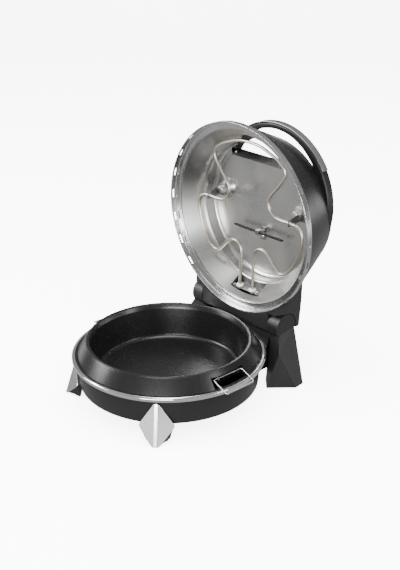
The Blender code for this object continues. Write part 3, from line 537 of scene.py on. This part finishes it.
# ------------------------------------------------------------------ pan
pan_inner = lathe(rounded([(0, 0.0435), (0.1210, 0.0435), (0.1292, 0.0500), (0.1366, 0.0985), (0.1392, 0.1046), (0.1424, 0.1062), (0.1440, 0.1060), (0.1447, 0.1068), (0.1436, 0.1088), (0.1386, 0.1087), (0.1350, 0.1010), (0.1268, 0.0490), (0.1215, 0.0455), (0, 0.0455)],
                          [0, 0.004, 0.010, 0.004, 0.003, 0.0006, 0.0003, 0.0006, 0.0024, 0.0028, 0.012, 0.0060, 0.010, 0], 9), 240)
put("pan_look", pan_inner, "pan", "pan", BASE, "pan", "pan_coating", smooth=40)
skirt = lathe(rounded([(0.1431, 0.1058), (0.1590, 0.0822), (0.1608, 0.0822), (0.1608, 0.0828), (0.1455, 0.1058), (0.1447, 0.1069), (0.1436, 0.1066)], [0.0002, 0.0003, 0.0004, 0.0004, 0.004, 0.0004, 0.0002], 6), 240)
env = lathe([(0, 0.06), (0.165, 0.06), (0.165, 0.0812), (0.1604, 0.0822), (0.1451, 0.1056), (0, 0.1056)], 240)
for s in (1, -1):
    x = sorted((s * 0.1389, s * 0.17))
    skirt = join(skirt, meet(box(x[0], x[1], -0.0371, 0.0371, 0.0822, 0.1012), env))
    x = sorted((s * 0.1405, s * 0.18))
    pocket = prism(rounded([(-0.0355, 0.060), (0.0355, 0.060), (0.0355, 0.0996), (-0.0355, 0.0996)], 0.0022, 5), x[0], x[1], "x")
    skirt = cut(skirt, pocket)
    for y in (-0.022, 0.022):
        x = sorted((s * 0.1395, s * 0.1510))
        lug = meet(box(x[0], x[1], y - 0.0015, y + 0.0015, 0.0915, 0.1004), env)
        lug = cut(lug, cylinder((s * 0.1480, y - 0.01, 0.0957), (0, 1, 0), 0.0019, 0.02, 24))
        skirt = join(skirt, lug)
put("pan_skirt_look", skirt, "pan", "pan", BASE, "pan", "pan_coating", smooth=24)


def bail(s):
    px, pz, ox, oz = 0.1480, 0.0957, 0.1785, 0.0828
    ln = math.hypot(ox - px, oz - pz)
    ux, uz = (ox - px) / ln, (oz - pz) / ln
    rc, hb = 0.0038, 0.0315
    pts = []
    for cu, cv, a0 in ((rc, -hb + rc, 180), (ln - rc, -hb + rc, 270), (ln - rc, hb - rc, 0), (rc, hb - rc, 90)):
        for k in range(11):
            a = math.radians(a0 + 9 * k)
            u, v = cu + rc * math.cos(a), cv + rc * math.sin(a)
            pts.append((s * (px + ux * u), v, pz + uz * u))
    return tube(pts, 0.00125, 18, closed=True)


put("wire_right", bail(1), "wire", "pan_handle_right", BASE, "pan_handle_right", "chromed_wire", smooth=60)
put("wire_left", bail(-1), "wire", "pan_handle_left", BASE, "pan_handle_left", "chromed_wire", smooth=60)

# ------------------------------------------------------------------ lid


def window_side(offset, far=0.4):
    k = math.sqrt(1 + WS ** 2)
    ny, nz = -1 / k, WS / k
    ty, tz = WS / k, 1 / k
    o = (WY + ny * offset, WZ + nz * offset)
    return prism([(o[0] + ty * a + ny * b, o[1] + tz * a + nz * b) for a, b in ((-far, 0), (far, 0), (far, far), (-far, far))], -0.3, 0.3, "x")


shell = lathe(rounded([(0.1700, 0.1030), (0.1212, 0.2108), (0.1080, 0.2130), (0, 0.2140), (0, 0.2118), (0.1070, 0.2108), (0.1192, 0.2090), (0.1676, 0.1030)],
                      [0.0003, 0.0085, 0.002, 0, 0, 0.003, 0.007, 0.0003], 10), 200)
shell = cut(shell, meet(window_side(-0.0003), box(-0.3, 0.3, -0.4, 0.1, 0.1900, 0.5)))
for x in (-0.046, 0.046):
    shell = cut(shell, cylinder((x, 0.030, 0.200), (0, 0, 1), 0.0050, 0.03))
shell = cut(shell, cylinder((0, 0.042, 0.200), (0, 0, 1), 0.0043, 0.03))
put("shell_look", shell, "shell", "lid", LID, "lid_shell", "black_enamel", smooth=28)

rim = lathe(rounded([(0.1719, 0.0892), (0.1733, 0.0892), (0.1733, 0.1002), (0.1700, 0.1020), (0.1590, 0.1020), (0.1576, 0.1012), (0.1590, 0.1002), (0.1700, 0.1002), (0.1719, 0.0994)],
                    [0.0005, 0.0005, 0.0030, 0.001, 0.0007, 0.0006, 0.0003, 0.0008, 0.0010], 7), 200)
for k in range(7):
    for s in (1, -1):
        outline = rounded([(-0.0080, 0.0935), (0.0080, 0.0935), (0.0080, 0.0975), (-0.0080, 0.0975)], 0.0010, 4)
        slot = prism(outline, -0.180, -0.165, "y")
        slot.transform(Matrix.Rotation(s * math.radians(43.9 + 14.9 * k), 4, "Z"))
        rim = cut(rim, slot)
put("lid_rim_look", rim, "rim", "lid", LID, "lid_rim", "polished_stainless", smooth=25)

liner_in = [(0.1592, 0.1026), (0.1572, 0.1032), (0.1335, 0.1380), (0.1308, 0.1396), (0.1300, 0.1425), (0.1288, 0.1590), (0.1236, 0.1624), (0, 0.1645)]
liner_out = [(0, 0.1655), (0.1240, 0.1634), (0.1298, 0.1598), (0.1311, 0.1428), (0.1318, 0.1404), (0.1345, 0.1390), (0.1582, 0.1040), (0.1660, 0.1034), (0.1660, 0.1024)]
liner = lathe(rounded(liner_in + liner_out, [0.0005, 0.0008, 0.0035, 0.0015, 0.0012, 0.0040, 0.0060, 0, 0, 0.006, 0.004, 0.001, 0.001, 0.003, 0.001, 0.0003, 0.0003], 7), 200)
liner = cut(liner, window_side(0.0), box(-0.0834, 0.0834, -0.2, -0.0855, 0.1600, 0.2))
liner = cut(liner, box(-0.0350, 0.0350, 0.1100, 0.2000, 0.1140, 0.1385))
for s in (1, -1):
    d = lathe(rounded([(0, 0.1402), (0.0056, 0.1402), (0.0100, 0.1480), (0.0125, 0.1560), (0.0200, 0.1638), (0, 0.1640)], [0, 0.0030, 0.006, 0.006, 0, 0], 6), 48)
    d.transform(Matrix.Translation((s * 0.0940, -0.0200, 0)))
    liner = join(liner, d)
liner = cut(liner, cylinder((0, 0.0510, 0.155), (0, 0, 1), 0.0019, 0.02, 16))
put("liner_look", liner, "liner", "lid", LID, "lid_liner", "polished_stainless", smooth=25)

# window: glass and dark frame, whose real reveal is pierced; the corner screws are made further down
softened("window_glass", "glass", 0.0006, 3, 30, "window_glass")
softened("window_frame", "frame", 0.0005, 2, 30, "handle_plastic")

# crescent handle with its silver band


def swept(inner, outer, z0, z1, radius, steps=6):
    """Solid between two arcs (lists of x, y of equal length), its section a rounded rectangle."""
    bm = bmesh.new()
    rings = []
    for (ix, iy), (ox, oy) in zip(inner, outer):
        w = math.hypot(ox - ix, oy - iy)
        r = min(radius, w * 0.48)
        ring = []
        for cu, cz, a0 in ((w - r, z1 - r, 0), (r, z1 - r, 90), (r, z0 + r, 180), (w - r, z0 + r, 270)):
            for k in range(steps + 1):
                a = math.radians(a0 + 90 * k / steps)
                u = (cu + r * math.cos(a)) / w
                ring.append(bm.verts.new((ix + (ox - ix) * u, iy + (oy - iy) * u, cz + r * math.sin(a))))
        rings.append(ring)
    n = len(rings[0])
    for a, b in zip(rings, rings[1:]):
        for k in range(n):
            bm.faces.new((a[k], a[(k + 1) % n], b[(k + 1) % n], b[k]))
    bm.faces.new(list(reversed(rings[0])))
    bm.faces.new(rings[-1])
    return finish_bm(bm, "swept")


HN = 110
grip = swept(arc(0, -0.0349, 0.1091, math.radians(162), math.radians(378), HN), arc(0, -0.0233, 0.1308, math.radians(156), math.radians(384), HN), 0.1870, 0.2030, 0.0030)
lid_space = lathe([(0, 0.09), (0.1740, 0.09), (0.1740, 0.1030), (0.1702, 0.1034), (0.1214, 0.2110), (0.1170, 0.23), (0, 0.23)], 200)
put("handle_look", cut(grip, lid_space), "handle", "lid", LID, "lid_handle", "handle_plastic", smooth=40)
band = swept(arc(0, -0.0233, 0.1311, math.radians(211), math.radians(329), 90), arc(0, -0.0233, 0.1331, math.radians(211), math.radians(329), 90), 0.1880, 0.2020, 0.0008, 4)
put("band_look", band, "silver", "lid", LID, "handle_trim", "silver_trim", smooth=40)
softened("hinge_block", "block", 0.0010, 3, 20, "charcoal_plastic", 40)

# heater
HZ0 = 0.1235
HALF = [(0.0160, 0.1480), (0.0160, 0.1360), (0.0157, 0.1150), (0.0152, 0.0850), (0.0175, 0.0690), (0.0265, 0.0595), (0.0400, 0.0585), (0.0530, 0.0660), (0.0650, 0.0790),
        (0.0770, 0.0885), (0.0900, 0.0880), (0.1040, 0.0770), (0.1160, 0.0600), (0.1250, 0.0380), (0.1300, 0.0150), (0.1275, 0.0005),
        (0.1170, -0.0085), (0.1000, -0.0105), (0.0810, -0.0100), (0.0650, -0.0125), (0.0530, -0.0220), (0.0490, -0.0350), (0.0540, -0.0480),
        (0.0670, -0.0630), (0.0800, -0.0790), (0.0870, -0.0920), (0.0850, -0.1030), (0.0740, -0.1130), (0.0520, -0.1230), (0.0270, -0.1310), (0.0, -0.1335)]
half = [(x, y, HZ0 - 0.0035 * max(0.0, min(1.0, (y - 0.05) / 0.08))) for x, y in HALF]
path = spline(half + [(-x, y, z) for x, y, z in reversed(half[:-1])], 6)
put("heater_look", tube(path, 0.0029, 20), "heater", "lid", LID, "heater_element", "heater_sheath", smooth=60)

softened("terminal_plate", "plate", 0.0003, 2, 40, "polished_stainless")
for side in ("right", "left"):
    softened("heater_clip_" + side, "bracket", 0.0002, 2, 40, "dark_bracket")
    softened("heater_bush_" + side, "ceramic", 0.0003, 2, 40, "ceramic")
    for w in ("upper", "lower"):
        softened("terminal_screw_%s_%s" % (w, side), "screw", 0.0002, 2, 40, "screw_steel")
    softened("window_screw_" + side, "screw", 0.0002, 2, 40, "screw_steel")
    softened("rim_clip_" + side, "screw", 0.0003, 2, 40, "screw_steel")
softened("thermostat_bulb", "bulb", 0.0002, 2, 40, "dark_bracket", 60)
softened("bulb_clip", "bracket", 0.0002, 2, 40, "dark_bracket")
softened("bulb_clip_screw", "screw", 0.0002, 2, 40, "screw_steel")
for n in ("thermostat_knob", "timer_knob"):
    softened(n, "knob", 0.0004, 3, 35, "knob_plastic")
for n in ("thermostat_body", "timer_body"):
    nodes[n].data.materials.clear()
    nodes[n].data.materials.append(M["knob"])
softened("indicator_lens", "lens", 0.0003, 2, 40, "red_lens")

# ------------------------------------------------------------------ stage, light, camera


def stage_mesh():
    bm = bmesh.new()
    pts = [(-6, 0)]
    for k in range(13):
        a = math.radians(90 * k / 12)
        pts.append((3.2 + 1.2 * math.sin(a), 1.2 - 1.2 * math.cos(a)))
    pts.append((4.4, 6))
    rows = []
    for y, z in pts:
        rows.append([bm.verts.new((x, y, z)) for x in (-16, 16)])
    for i in range(len(rows) - 1):
        bm.faces.new((rows[i][0], rows[i][1], rows[i + 1][1], rows[i + 1][0]))
    return finish_bm(bm, "stage")


sm = stage_mesh()
smat, snt, sp = new_mat("pale_floor")
sv = coords(snt)
snt.links.new(mixcol(snt, noise(snt, sv, 3, 2), (0.93, 0.93, 0.93), (0.95, 0.95, 0.95)), sp.inputs["Base Color"])
sp.inputs["Roughness"].default_value = 0.9
sp.inputs["Specular IOR Level"].default_value = 0.1
sp.inputs["Emission Color"].default_value = (1, 1, 1, 1)
sp.inputs["Emission Strength"].default_value = 6.0
sm.materials.append(smat)
sm.shade_smooth()
floor = bpy.data.objects.new("floor", sm)
bpy.context.scene.collection.objects.link(floor)
floor.rotation_euler = (0, 0, math.radians(48))
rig.stage(floor)

floor.visible_glossy = False
floor.visible_diffuse = False

world = bpy.data.worlds.new("studio")
world.use_nodes = True
wnt = world.node_tree
bg = wnt.nodes["Background"]
wtc = wnt.nodes.new("ShaderNodeTexCoord")
wsep = wnt.nodes.new("ShaderNodeSeparateXYZ")
wnt.links.new(wtc.outputs["Generated"], wsep.inputs["Vector"])
wr = wnt.nodes.new("ShaderNodeValToRGB")
wr.color_ramp.elements[0].position = 0.25
wr.color_ramp.elements[0].color = (0.50, 0.50, 0.50, 1)
wr.color_ramp.elements[1].position = 0.85
wr.color_ramp.elements[1].color = (0.42, 0.42, 0.42, 1)
e = wr.color_ramp.elements.new(0.5)
e.color = (0.16, 0.16, 0.16, 1)
wm = wnt.nodes.new("ShaderNodeMapRange")
wm.inputs["From Min"].default_value = -1
wm.inputs["From Max"].default_value = 1
wnt.links.new(wsep.outputs["Z"], wm.inputs["Value"])
wnt.links.new(wm.outputs["Result"], wr.inputs["Fac"])
# a narrow bright strip just below the horizon, as a low white card round the set
wb = wnt.nodes.new("ShaderNodeValToRGB")
wb.color_ramp.elements[0].position = 0.385
wb.color_ramp.elements[0].color = (0, 0, 0, 1)
wb.color_ramp.elements[1].position = 0.495
wb.color_ramp.elements[1].color = (0, 0, 0, 1)
for at in (0.425, 0.470):
    wb.color_ramp.elements.new(at).color = (1, 1, 1, 1)
wnt.links.new(wm.outputs["Result"], wb.inputs["Fac"])
wx = wnt.nodes.new("ShaderNodeVectorMath")
wx.operation = "MULTIPLY_ADD"
wx.inputs[1].default_value = (1.7, 1.7, 1.7)
wnt.links.new(wb.outputs["Color"], wx.inputs[0])
wnt.links.new(wr.outputs["Color"], wx.inputs[2])
wnt.links.new(wx.outputs["Vector"], bg.inputs["Color"])
bg.inputs["Strength"].default_value = 1.0
bpy.context.scene.world = world


def area(name, loc, target, size, power, sy=None, color=(1, 1, 1)):
    d = bpy.data.lights.new(name, "AREA")
    d.shape = "RECTANGLE"
    d.size = size
    d.size_y = sy or size
    d.energy = power
    d.color = color
    o = bpy.data.objects.new(name, d)
    o.location = loc
    o.rotation_euler = (Vector(target) - Vector(loc)).to_track_quat("-Z", "Y").to_euler()
    bpy.context.scene.collection.objects.link(o)
    return o


area("front_left", (-1.6, -1.5, 1.3), (0, 0, 0.15), 0.9, 60, 1.2)
area("near", (1.25, -1.80, 0.55), (0.1, -0.2, 0.06), 1.3, 60, 0.8)
area("top", (0.0, -0.1, 2.4), (0, 0, 0.1), 1.2, 30)
area("right", (2.2, 0.7, 0.8), (0, 0, 0.2), 0.5, 16, 1.2)
fill = area("floor_wash", (0.6, -0.5, 3.4), (0, 0, 0), 5.0, 760)
fill.visible_glossy = False
fill.data.specular_factor = 0.0

cam_d = bpy.data.cameras.new("camera")
cam = bpy.data.objects.new("camera", cam_d)
bpy.context.scene.collection.objects.link(cam)
pos = Vector((1.17405, -0.99232 + AY, 0.88877))
aim = Vector((-0.00027, 0.07344 + AY, 0.18565))
cam.location = pos
cam.rotation_euler = (aim - pos).to_track_quat("-Z", "Y").to_euler()
cam_d.lens = 62.37
cam_d.sensor_width = 36
cam_d.sensor_fit = "AUTO"
cam_d.clip_end = 60
bpy.context.scene.camera = cam

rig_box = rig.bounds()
with open("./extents.json", "w") as f:
    json.dump({"cad": [list(map(float, v)) for v in CAD_BOX], "visual": [list(map(float, v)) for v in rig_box]}, f)
